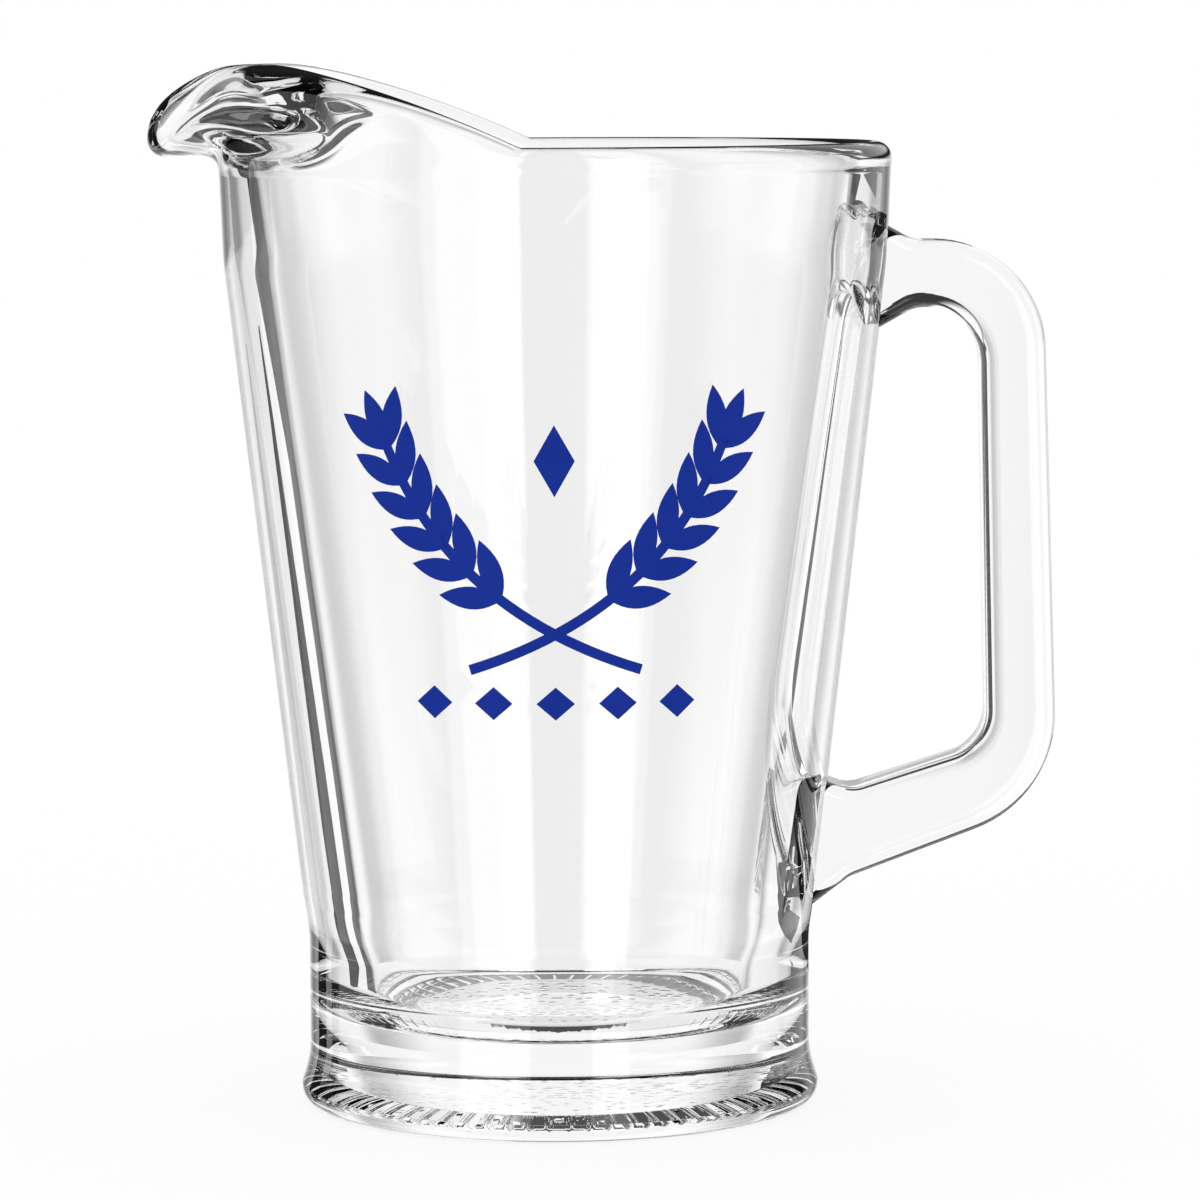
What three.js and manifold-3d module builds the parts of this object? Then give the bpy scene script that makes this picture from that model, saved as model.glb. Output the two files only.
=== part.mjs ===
// Glass pitcher: a pressed body with a pinched pouring lip, a handle sealed to its side and a printed motif.
// Millimetres, +Z up. The origin is on the table, under the middle of the overall box.
// The lip pours towards -X, the handle stands on +X and the print faces -Y.
import * as THREE from 'three';
import { TessellateModifier } from 'three/addons/modifiers/TessellateModifier.js';
import { mergeVertices } from 'three/addons/utils/BufferGeometryUtils.js';
import loadManifold from 'manifold-3d';

// Body, outside
const RIM_HEIGHT = 209.4; // top of the plain rim above the table
const RIM_RADIUS = 73.0; // outside of the rim
const COLLAR_HEIGHT = 25.4; // nearly upright band below the rim
const COLLAR_TAPER = 1.0; // the collar's foot is this much smaller in radius than the rim
const WAIST_RADIUS = 54.8; // upright band above the foot
const WAIST_TOP = 37.0;
const SHOULDER_STEP = 1.3; // the cone ends this far outside the waist
const SHOULDER_HEIGHT = 8.5;
const FOOT_RADIUS = 56.7; // widest line of the foot
const FOOT_WIDEST_HEIGHT = 4.0;
const FOOT_FLARE_HEIGHT = 7.0; // from the widest line up to where the flare meets the waist
const FOOT_UNDERCUT = 2.6; // from the widest line in to the standing ring
const STANDING_RING_WIDTH = 7.5;
const PUSH_UP_DEPTH = 2.5; // hollow under the base
const PUSH_UP_SLOPE_WIDTH = 6.0;

// Body, inside
const WALL_AT_RIM = 6.9;
const WALL_AT_SHOULDER = 11.5;
const BASE_THICKNESS = 18.5; // table to inner floor
const FLOOR_CORNER_RADIUS = 11.0;

// Pouring lip
const LIP_ROUND = 3.1; // radius of the fire-polished edge
const LIP_CHEEK = 3.0; // how much larger that radius is beside the beak
const LIP_CHEEK_ANGLE = 24; // degrees from the pouring direction
const LIP_CHEEK_SPREAD = 18;
const LIP_ROOT_DROP = 6.4; // the lip's wall leaves the collar this far below the rim
const SPOUT_REACH = 15.2; // pull of the tip beyond the rim
const SPOUT_TIP_RISE = 4.6; // tip above the rim
const SPOUT_CREST_RISE = 17.9; // highest part of the lip above the rim
const SPOUT_CREST_ANGLE = 23; // degrees from the pouring direction
const SPOUT_END_ANGLE = 84.5; // where the lip comes down to the plain rim
const SPOUT_BEAK_ANGLE = 19.5; // where the pull has dropped to half
const SPOUT_BEAK_SHARPNESS = 4.5;
const SPOUT_TURN = 0.6; // how soon the lip turns level towards the tip
const LIP_FULLNESS = 0.45; // how far the lip's faces run on before they bend
const PINCH_DEPTH = 4.0; // ice guard: an oval dent on each side below the crest
const PINCH_ANGLE = 31;
const PINCH_SPREAD = 19;
const PINCH_RISE = 3.0; // middle of the dent above the rim
const PINCH_HALF_HEIGHT = 5.2;
const PINCH_SOFTNESS = 1.5; // how gently the dent begins at its edge

// Handle
const HANDLE_WIDTH = 19.0; // across the flat cheeks
const HANDLE_EDGE_ROUND = 2.6;
const UPPER_ARM_DROP = 21.4; // rim to the top of the upper arm
const UPPER_ARM_THICKNESS = 14.5;
const FINGER_ROOM = 20.3; // wall to grip, under the upper arm
const GRIP_THICKNESS = 13.5; // at its upper end
const GRIP_SWELL = 1.8; // how much thicker its lower end is
const GRIP_LEAN = 1.6; // how far its lower end stands out
const LOWER_ARM_HEIGHT = 56.8; // middle of the lower arm where it meets the wall
const LOWER_ARM_THICKNESS = 19.4; // measured upright, at the wall
const LOWER_ARM_TOP_SLOPE = 17.7; // degrees
const LOWER_ARM_BOTTOM_SLOPE = 20.6;
const UPPER_CORNER_OUTSIDE = 24.0;
const UPPER_CORNER_INSIDE = 12.0;
const LOWER_CORNER_OUTSIDE = 27.0;
const LOWER_CORNER_INSIDE = 10.5;
const SEAL_FLARE = 3.4; // the arms spread this much where they meet the wall
const SEAL_FLARE_RUN = 6.0;
const SEAL_ROUND = 8.0;
const SEAL_CLEARANCE = 0.3; // between wall and handle

// Print
const PRINT_HEIGHT = 131.0; // middle of the motif above the table
const PRINT_CLEARANCE = 0.3;
const PRINT_THICKNESS = 0.3;
const STEM_EXTRA_THICKNESS = 0.08; // the stems lie over the grains
const STEM_WIDTH = 2.2;
const STEM_FOOT = { across: -18, up: -30 };
const STEM_BEND = { across: 22, up: -17 };
const STEM_TOP = { across: 37, up: 18 };
const GRAIN_LENGTH = 13.5;
const GRAIN_WIDTH = 4.8;
const GRAIN_TILT = 33; // degrees off the stem
const GRAIN_PAIRS = 6;
const GRAIN_BELLY = 0.45; // share of a grain's length below its widest part
const EAR_START = 0.42; // share of the stem below the first grains
const EAR_END = 0.97; // share of the stem below the last grains
const LOZENGE_TALL = 15.0;
const LOZENGE_WIDE = 8.5;
const CENTRE_LOZENGE_UP = 14.0;
const LOZENGE_ROW_UP = -37.0;
const LOZENGE_ROW_COUNT = 5;
const LOZENGE_ROW_PITCH = 13.0;
const LOZENGE_ROW_TALL = 7.0;
const LOZENGE_ROW_WIDE = 8.0;

// Facets
const BODY_SEGMENTS = 100;
const LIP_ROWS = 8;
const EDGE_ROWS = 4;
const CORNER_STEPS = 4;
const ARC_STEPS = 7;
const GRAIN_STEPS = 4;
const STEM_STEPS = 14;
const INK_FACET = 6.0; // longest side of an ink triangle, so that the print bends with the wall
const INK_SPLITS = 8;
const MERGE_DISTANCE = 1e-3;

// Colours
const GLASS_COLOUR = 0xeef2f2;
const PRINT_COLOUR = 0x102b8e;
const GLASS_ROUGHNESS = 0.05;
const GLASS_OPACITY = 0.35;
const PRINT_ROUGHNESS = 0.35;

const wasm = await loadManifold();
wasm.setup();

const radians = THREE.MathUtils.degToRad;
const up = new THREE.Vector3(0, 0, 1);
const pouring = new THREE.Vector3(-1, 0, 0);

// Places that follow from the sizes
const collarFoot = RIM_HEIGHT - COLLAR_HEIGHT;
const shoulderTop = WAIST_TOP + SHOULDER_HEIGHT;
const lipRoot = RIM_HEIGHT - LIP_ROOT_DROP;

// Outer wall profile from the waist to the rim, as [height, radius]
const WALL_LINE = [
  [FOOT_WIDEST_HEIGHT + FOOT_FLARE_HEIGHT, WAIST_RADIUS],
  [WAIST_TOP, WAIST_RADIUS],
  [shoulderTop, WAIST_RADIUS + SHOULDER_STEP],
  [collarFoot, RIM_RADIUS - COLLAR_TAPER],
  [RIM_HEIGHT, RIM_RADIUS],
];

/** Radius of the outer wall at a height. */
function wallRadius(height) {
  const first = WALL_LINE[0];
  if (height <= first[0]) return first[1];
  for (let i = 1; i < WALL_LINE.length; i += 1) {
    const [low, lowRadius] = WALL_LINE[i - 1];
    const [high, highRadius] = WALL_LINE[i];
    if (height <= high) return THREE.MathUtils.mapLinear(height, low, high, lowRadius, highRadius);
  }
  return RIM_RADIUS;
}

/** Radius of the conical inner wall at a height. */
function boreRadius(height) {
  const shoulderBore = wallRadius(shoulderTop) - WALL_AT_SHOULDER;
  const rimBore = RIM_RADIUS - WALL_AT_RIM;
  return THREE.MathUtils.mapLinear(height, shoulderTop, RIM_HEIGHT, shoulderBore, rimBore);
}

/** Share of the tip's pull at an angle from the pouring direction. */
function pullShare(angle) {
  return 1 / (1 + (Math.abs(angle) / radians(SPOUT_BEAK_ANGLE)) ** SPOUT_BEAK_SHARPNESS);
}

/** Height of the lip above the plain rim at an angle from the pouring direction. */
function lipRise(angle) {
  const crest = radians(SPOUT_CREST_ANGLE);
  const end = radians(SPOUT_END_ANGLE);
  const away = Math.abs(angle);
  if (away >= end) return 0;
  if (away >= crest) return SPOUT_CREST_RISE * (1 - ((away - crest) / (end - crest)) ** 2);
  const share = (1 - Math.cos((Math.PI * away) / crest)) / 2;
  return THREE.MathUtils.lerp(SPOUT_TIP_RISE, SPOUT_CREST_RISE, share);
}

/** Point at a radius and height, at an angle from the pouring direction. */
function aroundAxis(angle, radius, height) {
  return new THREE.Vector3(-radius * Math.cos(angle), radius * Math.sin(angle), height);
}

/** Radius of the lip's rounded edge, half its thickness, at an angle from the pouring direction. */
function lipRound(angle) {
  const away = (Math.abs(angle) - radians(LIP_CHEEK_ANGLE)) / radians(LIP_CHEEK_SPREAD);
  return LIP_ROUND + LIP_CHEEK * Math.exp(-away * away);
}

/** Middle of the rounded lip edge at an angle from the pouring direction. */
function lipEdge(angle) {
  const round = lipRound(angle);
  const point = aroundAxis(angle, RIM_RADIUS - round, RIM_HEIGHT - round + lipRise(angle));
  return point.addScaledVector(pouring, SPOUT_REACH * pullShare(angle));
}

/** Curve of one face of the lip from the collar to the edge, leaving upright and ending along the lip. */
function lipFace(start, end, along) {
  const run = LIP_FULLNESS * start.distanceTo(end);
  const leave = start.clone().addScaledVector(up, run);
  const arrive = end.clone().addScaledVector(along, -run);
  return new THREE.CubicBezierCurve3(start, leave, arrive, end);
}

/** Push a point of the lip inwards where the ice guard is pinched. */
function pinch(point, angle) {
  const around = (Math.abs(angle) - radians(PINCH_ANGLE)) / radians(PINCH_SPREAD);
  const upwards = (point.z - RIM_HEIGHT - PINCH_RISE) / PINCH_HALF_HEIGHT;
  const share = Math.max(0, 1 - around * around - upwards * upwards);
  return point.addScaledVector(aroundAxis(angle, 1, 0), -PINCH_DEPTH * share ** PINCH_SOFTNESS);
}

/** Section of the lip at an angle: points up the outside, over the rounded edge and down the inside. */
function lipSection(angle) {
  const step = Math.PI / BODY_SEGMENTS;
  const round = lipRound(angle);
  const edge = lipEdge(angle);
  const tangent = lipEdge(angle + step).sub(lipEdge(angle - step));
  const spread = pullShare(angle) ** SPOUT_TURN;
  const along = pouring.clone().multiplyScalar(spread).addScaledVector(up, 1 - spread).normalize();
  const outwards = along.clone().cross(tangent).normalize();
  const outside = lipFace(
    aroundAxis(angle, wallRadius(lipRoot), lipRoot),
    edge.clone().addScaledVector(outwards, round),
    along,
  );
  const inside = lipFace(
    aroundAxis(angle, boreRadius(lipRoot), lipRoot),
    edge.clone().addScaledVector(outwards, -round),
    along,
  );
  const rising = outside.getPoints(LIP_ROWS).map((p) => pinch(p, angle));
  const falling = inside.getPoints(LIP_ROWS).reverse();
  const rounding = [];
  for (let i = 1; i < EDGE_ROWS; i += 1) {
    const turn = (Math.PI * i) / EDGE_ROWS;
    const point = edge.clone().addScaledVector(outwards, round * Math.cos(turn));
    rounding.push(point.addScaledVector(along, round * Math.sin(turn)));
  }
  return [...rising, ...rounding, ...falling];
}

/** Profile of the foot and outer wall, from the middle of the underside up to the lip's root. */
function outerProfile() {
  const standing = FOOT_RADIUS - FOOT_UNDERCUT;
  const ringInside = standing - STANDING_RING_WIDTH;
  const points = [
    new THREE.Vector2(0, PUSH_UP_DEPTH),
    new THREE.Vector2(ringInside - PUSH_UP_SLOPE_WIDTH, PUSH_UP_DEPTH),
    new THREE.Vector2(ringInside, 0),
  ];
  for (let i = 0; i <= CORNER_STEPS; i += 1) {
    const turn = (Math.PI / 2) * (i / CORNER_STEPS);
    const radius = standing + FOOT_UNDERCUT * Math.sin(turn);
    points.push(new THREE.Vector2(radius, FOOT_WIDEST_HEIGHT * (1 - Math.cos(turn))));
  }
  for (let i = 1; i < CORNER_STEPS; i += 1) {
    const share = i / CORNER_STEPS;
    const flare = (FOOT_RADIUS - WAIST_RADIUS) * (1 - share) ** 2;
    points.push(new THREE.Vector2(WAIST_RADIUS + flare, FOOT_WIDEST_HEIGHT + FOOT_FLARE_HEIGHT * share));
  }
  for (const [height, radius] of WALL_LINE) {
    if (height < lipRoot) points.push(new THREE.Vector2(radius, height));
  }
  return points;
}

/** Profile of the inner wall and floor, from below the lip's root down to the middle of the floor. */
function innerProfile() {
  const cornerTop = BASE_THICKNESS + FLOOR_CORNER_RADIUS;
  const cornerMiddle = boreRadius(cornerTop) - FLOOR_CORNER_RADIUS;
  const points = [];
  for (let i = 0; i <= CORNER_STEPS; i += 1) {
    const turn = (Math.PI / 2) * (i / CORNER_STEPS);
    const radius = cornerMiddle + FLOOR_CORNER_RADIUS * Math.cos(turn);
    points.push(new THREE.Vector2(radius, cornerTop - FLOOR_CORNER_RADIUS * Math.sin(turn)));
  }
  points.push(new THREE.Vector2(0, BASE_THICKNESS));
  return points;
}

/** Body of revolution whose lip rows are then drawn out into the spout. */
function bodyGeometry() {
  const outer = outerProfile();
  const inner = innerProfile();
  const plainLip = lipSection(Math.PI).map((p) => new THREE.Vector2(Math.hypot(p.x, p.y), p.z));
  const profile = [...outer, ...plainLip, ...inner];
  const geometry = new THREE.LatheGeometry(profile, BODY_SEGMENTS);
  geometry.rotateX(Math.PI / 2);
  const position = geometry.getAttribute('position');
  for (let i = 0; i <= BODY_SEGMENTS; i += 1) {
    const angle = (2 * Math.PI * i) / BODY_SEGMENTS - Math.PI;
    const section = lipSection(angle);
    profile.forEach((plain, j) => {
      const lip = section[j - outer.length];
      const point = lip ?? aroundAxis(angle, plain.x, plain.y);
      position.setXYZ(i * profile.length + j, point.x, -point.y, point.z);
    });
  }
  return geometry;
}

/** Closed solid of a geometry, with shared corners merged and collapsed triangles left out. */
function solidOf(geometry) {
  const bare = geometry.clone();
  bare.deleteAttribute('normal');
  bare.deleteAttribute('uv');
  const merged = mergeVertices(bare, MERGE_DISTANCE);
  const index = merged.getIndex().array;
  const triangles = [];
  for (let i = 0; i < index.length; i += 3) {
    const [a, b, c] = [index[i], index[i + 1], index[i + 2]];
    if (a !== b && b !== c && c !== a) triangles.push(a, b, c);
  }
  return new wasm.Manifold(new wasm.Mesh({
    numProp: 3,
    vertProperties: new Float32Array(merged.getAttribute('position').array),
    triVerts: new Uint32Array(triangles),
  }));
}

/** Geometry of a closed solid. */
function geometryOf(solid) {
  const mesh = solid.getMesh();
  const geometry = new THREE.BufferGeometry();
  geometry.setAttribute('position', new THREE.BufferAttribute(new Float32Array(mesh.vertProperties), 3));
  geometry.setIndex(new THREE.BufferAttribute(new Uint32Array(mesh.triVerts), 1));
  geometry.computeVertexNormals();
  return geometry;
}

/** Outline through corners, each rounded by an arc of its own radius or left sharp. */
function roundedOutline(corners) {
  const shape = new THREE.Shape();
  shape.moveTo(corners[0].at.x, corners[0].at.y);
  corners.forEach((corner, i) => {
    if (!corner.round) {
      shape.lineTo(corner.at.x, corner.at.y);
      return;
    }
    const before = corners[(i + corners.length - 1) % corners.length].at;
    const after = corners[(i + 1) % corners.length].at;
    const back = before.clone().sub(corner.at).normalize();
    const ahead = after.clone().sub(corner.at).normalize();
    const half = Math.acos(back.dot(ahead)) / 2;
    const radius = corner.round;
    const middle = back.clone().add(ahead).normalize().multiplyScalar(radius / Math.sin(half)).add(corner.at);
    const start = back.multiplyScalar(radius / Math.tan(half)).add(corner.at).sub(middle);
    const end = ahead.multiplyScalar(radius / Math.tan(half)).add(corner.at).sub(middle);
    const clockwise = start.cross(end) < 0;
    shape.absarc(middle.x, middle.y, radius, start.angle(), end.angle(), clockwise);
  });
  return shape;
}

/** Side view of the handle, drawn in X and Z, with both arms running into the wall. */
function handleOutline() {
  const armTop = RIM_HEIGHT - UPPER_ARM_DROP;
  const armBottom = armTop - UPPER_ARM_THICKNESS;
  const upperWall = wallRadius((armTop + armBottom) / 2);
  const lowerWall = wallRadius(LOWER_ARM_HEIGHT);
  const gripInside = upperWall + FINGER_ROOM;
  const gripOutside = gripInside + GRIP_THICKNESS;
  const lowInside = gripInside + GRIP_LEAN;
  const lowOutside = lowInside + GRIP_THICKNESS + GRIP_SWELL;
  const lowerTop = LOWER_ARM_HEIGHT + LOWER_ARM_THICKNESS / 2;
  const lowerBottom = LOWER_ARM_HEIGHT - LOWER_ARM_THICKNESS / 2;
  const topSlope = Math.tan(radians(LOWER_ARM_TOP_SLOPE));
  const bottomSlope = Math.tan(radians(LOWER_ARM_BOTTOM_SLOPE));
  const upperIn = upperWall - WALL_AT_RIM / 2;
  const lowerIn = lowerWall - WALL_AT_SHOULDER / 2;
  const flareRise = SEAL_FLARE * (1 + WALL_AT_RIM / 2 / SEAL_FLARE_RUN);
  const lowerRise = SEAL_FLARE * (1 + WALL_AT_SHOULDER / 2 / SEAL_FLARE_RUN);
  const lowerRun = lowerWall + SEAL_FLARE_RUN;
  const corner = (x, z, round = 0) => ({ at: new THREE.Vector2(x, z), round });
  return roundedOutline([
    corner(upperIn, armTop + flareRise),
    corner(upperIn, armBottom - flareRise),
    corner(upperWall + SEAL_FLARE_RUN, armBottom, SEAL_ROUND),
    corner(gripInside, armBottom, UPPER_CORNER_INSIDE),
    corner(lowInside, lowerTop + (lowInside - lowerWall) * topSlope, LOWER_CORNER_INSIDE),
    corner(lowerRun, lowerTop + SEAL_FLARE_RUN * topSlope, SEAL_ROUND),
    corner(lowerIn, lowerTop + lowerRise),
    corner(lowerIn, lowerBottom - lowerRise),
    corner(lowerRun, lowerBottom + SEAL_FLARE_RUN * bottomSlope, SEAL_ROUND),
    corner(lowOutside, lowerBottom + (lowOutside - lowerWall) * bottomSlope, LOWER_CORNER_OUTSIDE),
    corner(gripOutside, armTop, UPPER_CORNER_OUTSIDE),
    corner(upperWall + SEAL_FLARE_RUN, armTop, SEAL_ROUND),
  ]);
}

/** Space that the wall and its seal gap take up, as a closed body of revolution. */
function wallSpace() {
  const points = [new THREE.Vector2(0, WALL_LINE[0][0])];
  for (const [height, radius] of WALL_LINE) points.push(new THREE.Vector2(radius + SEAL_CLEARANCE, height));
  points.push(new THREE.Vector2(0, RIM_HEIGHT));
  const geometry = new THREE.LatheGeometry(points, 2 * BODY_SEGMENTS);
  return solidOf(geometry.rotateX(Math.PI / 2));
}

/** Flat-cheeked handle with rounded edges, its arms cut to the wall. */
function handleGeometry() {
  const geometry = new THREE.ExtrudeGeometry(handleOutline(), {
    depth: HANDLE_WIDTH - 2 * HANDLE_EDGE_ROUND,
    bevelThickness: HANDLE_EDGE_ROUND,
    bevelSize: HANDLE_EDGE_ROUND,
    bevelOffset: -HANDLE_EDGE_ROUND,
    bevelSegments: EDGE_ROWS - 1,
    curveSegments: ARC_STEPS,
  });
  geometry.translate(0, 0, HANDLE_EDGE_ROUND - HANDLE_WIDTH / 2);
  geometry.rotateX(Math.PI / 2);
  return geometryOf(solidOf(geometry).subtract(wallSpace()));
}

/** Ink of a flat outline laid round the front of the wall. */
function inkOnWall(outline, extra) {
  const flat = new THREE.ExtrudeGeometry(outline, {
    depth: PRINT_THICKNESS + 2 * extra,
    bevelEnabled: false,
    curveSegments: GRAIN_STEPS,
  });
  const geometry = new TessellateModifier(INK_FACET, INK_SPLITS).modify(flat);
  const position = geometry.getAttribute('position');
  for (let i = 0; i < position.count; i += 1) {
    const height = PRINT_HEIGHT + position.getY(i);
    const wall = wallRadius(height);
    const angle = position.getX(i) / wall;
    const radius = wall + PRINT_CLEARANCE - extra + position.getZ(i);
    position.setXYZ(i, radius * Math.sin(angle), -radius * Math.cos(angle), height);
  }
  return geometry;
}

/** Pointed grain, from its foot at a point, leaning by an angle from upright. */
function grainOutline(foot, lean) {
  const axis = new THREE.Vector2(Math.sin(lean), Math.cos(lean));
  const side = new THREE.Vector2(axis.y, -axis.x);
  const tip = foot.clone().addScaledVector(axis, GRAIN_LENGTH);
  const belly = foot.clone().addScaledVector(axis, GRAIN_LENGTH * GRAIN_BELLY);
  const right = belly.clone().addScaledVector(side, GRAIN_WIDTH);
  const left = belly.clone().addScaledVector(side, -GRAIN_WIDTH);
  const shape = new THREE.Shape();
  shape.moveTo(foot.x, foot.y);
  shape.quadraticCurveTo(right.x, right.y, tip.x, tip.y);
  shape.quadraticCurveTo(left.x, left.y, foot.x, foot.y);
  return shape;
}

/** Band of even width along a curve. */
function bandOutline(curve, width, steps) {
  const left = [];
  const right = [];
  for (let i = 0; i <= steps; i += 1) {
    const point = curve.getPoint(i / steps);
    const tangent = curve.getTangent(i / steps);
    const side = new THREE.Vector2(tangent.y, -tangent.x).multiplyScalar(width / 2);
    right.push(point.clone().add(side));
    left.unshift(point.clone().sub(side));
  }
  return new THREE.Shape([...right, ...left]);
}

/** One barley ear, leaning to the side given as 1 or -1: its stem, pairs of grains and a last grain on top. */
function barleyEar(side) {
  const at = (place) => new THREE.Vector2(side * place.across, place.up);
  const stem = new THREE.QuadraticBezierCurve(at(STEM_FOOT), at(STEM_BEND), at(STEM_TOP));
  const leanAt = (share) => {
    const tangent = stem.getTangent(share);
    return Math.atan2(tangent.x, tangent.y);
  };
  let ear = solidOf(inkOnWall(bandOutline(stem, STEM_WIDTH, STEM_STEPS), STEM_EXTRA_THICKNESS));
  for (let i = 0; i < GRAIN_PAIRS; i += 1) {
    const share = THREE.MathUtils.lerp(EAR_START, EAR_END, i / (GRAIN_PAIRS - 1));
    for (const turn of [-radians(GRAIN_TILT), radians(GRAIN_TILT)]) {
      ear = ear.add(solidOf(inkOnWall(grainOutline(stem.getPoint(share), leanAt(share) + turn), 0)));
    }
  }
  return ear.add(solidOf(inkOnWall(grainOutline(stem.getPoint(EAR_END), leanAt(EAR_END)), 0)));
}

/** Upright lozenge at a place in the motif. */
function lozengeOutline(across, upwards, wide, tall) {
  return new THREE.Shape([
    new THREE.Vector2(across, upwards - tall / 2),
    new THREE.Vector2(across + wide / 2, upwards),
    new THREE.Vector2(across, upwards + tall / 2),
    new THREE.Vector2(across - wide / 2, upwards),
  ]);
}

/** Named mesh with a material of its own. */
function part(name, geometry, colour, roughness, opacity) {
  const material = new THREE.MeshStandardMaterial({
    color: colour,
    roughness,
    metalness: 0,
    opacity,
    transparent: opacity < 1,
  });
  const mesh = new THREE.Mesh(geometry, material);
  mesh.name = name;
  return mesh;
}

const pitcher = new THREE.Group();
pitcher.add(part('glass_body', bodyGeometry(), GLASS_COLOUR, GLASS_ROUGHNESS, GLASS_OPACITY));
pitcher.add(part('handle', handleGeometry(), GLASS_COLOUR, GLASS_ROUGHNESS, GLASS_OPACITY));
pitcher.add(part('print_barley', geometryOf(barleyEar(1).add(barleyEar(-1))), PRINT_COLOUR, PRINT_ROUGHNESS, 1));
const centreLozenge = lozengeOutline(0, CENTRE_LOZENGE_UP, LOZENGE_WIDE, LOZENGE_TALL);
pitcher.add(part('print_lozenge_centre', inkOnWall(centreLozenge, 0), PRINT_COLOUR, PRINT_ROUGHNESS, 1));
for (let i = 0; i < LOZENGE_ROW_COUNT; i += 1) {
  const across = (i - (LOZENGE_ROW_COUNT - 1) / 2) * LOZENGE_ROW_PITCH;
  const outline = lozengeOutline(across, LOZENGE_ROW_UP, LOZENGE_ROW_WIDE, LOZENGE_ROW_TALL);
  pitcher.add(part(`print_lozenge_${i + 1}`, inkOnWall(outline, 0), PRINT_COLOUR, PRINT_ROUGHNESS, 1));
}

// The sizes are measured from the body's axis, and the origin lies midway between spout and handle
const overall = new THREE.Box3().setFromObject(pitcher);
pitcher.position.x = -(overall.min.x + overall.max.x) / 2;

export default pitcher;
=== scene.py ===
"""Clear glass pitcher with a fired blue print, dressed for a plain studio picture.

Sizes are in millimetres from the vessel's own axis, and each finished mesh lies in the frame in metres.
The lip pours towards -X, the handle stands on +X and the print faces -Y.
"""

import logging
import math
from contextlib import contextmanager
from dataclasses import dataclass
from enum import Enum
from functools import lru_cache
from typing import Iterator, Sequence

import bpy
from mathutils import Matrix, Vector


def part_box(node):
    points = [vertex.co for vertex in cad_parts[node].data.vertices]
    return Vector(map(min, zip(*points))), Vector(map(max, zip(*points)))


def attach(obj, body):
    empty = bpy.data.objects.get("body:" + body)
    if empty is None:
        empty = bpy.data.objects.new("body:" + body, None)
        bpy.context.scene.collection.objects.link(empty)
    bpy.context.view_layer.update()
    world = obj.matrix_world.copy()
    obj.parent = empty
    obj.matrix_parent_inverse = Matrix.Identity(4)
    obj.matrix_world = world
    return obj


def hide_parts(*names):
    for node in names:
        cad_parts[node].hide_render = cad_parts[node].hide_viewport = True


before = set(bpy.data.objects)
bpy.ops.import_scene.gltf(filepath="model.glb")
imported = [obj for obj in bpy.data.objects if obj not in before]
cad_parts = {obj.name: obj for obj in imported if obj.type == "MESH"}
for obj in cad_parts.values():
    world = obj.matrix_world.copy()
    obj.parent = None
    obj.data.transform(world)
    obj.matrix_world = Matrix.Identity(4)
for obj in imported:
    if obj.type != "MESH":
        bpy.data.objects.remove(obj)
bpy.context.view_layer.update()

MM = 0.001
BODY = "root"
UP = Vector((0.0, 0.0, 1.0))
POURING = Vector((-1.0, 0.0, 0.0))
WHITE = (1.0, 1.0, 1.0, 1.0)
MERGE_DISTANCE = 1e-6
SUPPORT = 0.25
ANGLE_DIGITS = 6
GLASS_CREASE = 50.0
INK_CREASE = 30.0
NO_BOUNCE = 0.5
ONE_THICKNESS = 2.5

# Places of the colour sockets on a mix node
COLOUR_A = 6
COLOUR_B = 7
COLOUR_RESULT = 2

log = logging.getLogger("pitcher")


@dataclass(frozen=True)
class Corner:
    """Corner of an outline, in millimetres, and the radius that rounds it."""

    across: float
    up: float
    round: float = 0.0

    @property
    def at(self) -> Vector:
        """Place of the corner in its plane."""
        return Vector((self.across, self.up))


def lerp(start: float, end: float, share: float) -> float:
    """Value at a share of the way from start to end."""
    return start + (end - start) * share


def bent(start: Vector, pull: Vector, end: Vector, share: float) -> Vector:
    """Point at a share of the curve from start to end that is pulled towards a third point."""
    rest = 1.0 - share
    return start * (rest * rest) + pull * (2 * rest * share) + end * (share * share)


def corner_arc(before: Corner, corner: Corner, after: Corner, steps: int) -> list[Vector]:
    """Points of the arc that rounds a corner.

    Args:
        before: The corner before it.
        corner: The corner that is rounded.
        after: The corner after it.
        steps: How many steps the arc has.

    Returns:
        The arc's points in order, or the corner alone where it is sharp.
    """
    if corner.round <= 0.0:
        return [corner.at]
    back = (before.at - corner.at).normalized()
    ahead = (after.at - corner.at).normalized()
    half = math.acos(max(-1.0, min(1.0, back.dot(ahead)))) / 2
    middle = corner.at + (back + ahead).normalized() * (corner.round / math.sin(half))
    start = corner.at + back * (corner.round / math.tan(half)) - middle
    sweep = math.pi - 2 * half
    if back.x * ahead.y - back.y * ahead.x > 0:
        sweep = -sweep
    return [middle + Matrix.Rotation(sweep * i / steps, 2) @ start for i in range(steps + 1)]


def run_shares(length: float, steps: int) -> list[float]:
    """Even shares along a straight run, with one more close to each end so that shading stays flat between.

    Args:
        length: The run's length, in millimetres.
        steps: How many even steps it has.

    Returns:
        The shares in order, without 0 and with 1.
    """
    even = [i / steps for i in range(1, steps + 1)]
    near = SUPPORT / length if length > 0.0 else 1.0
    if near > even[0] / 2:
        return even
    return [near] + even[:-1] + [1.0 - near, 1.0]


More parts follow.
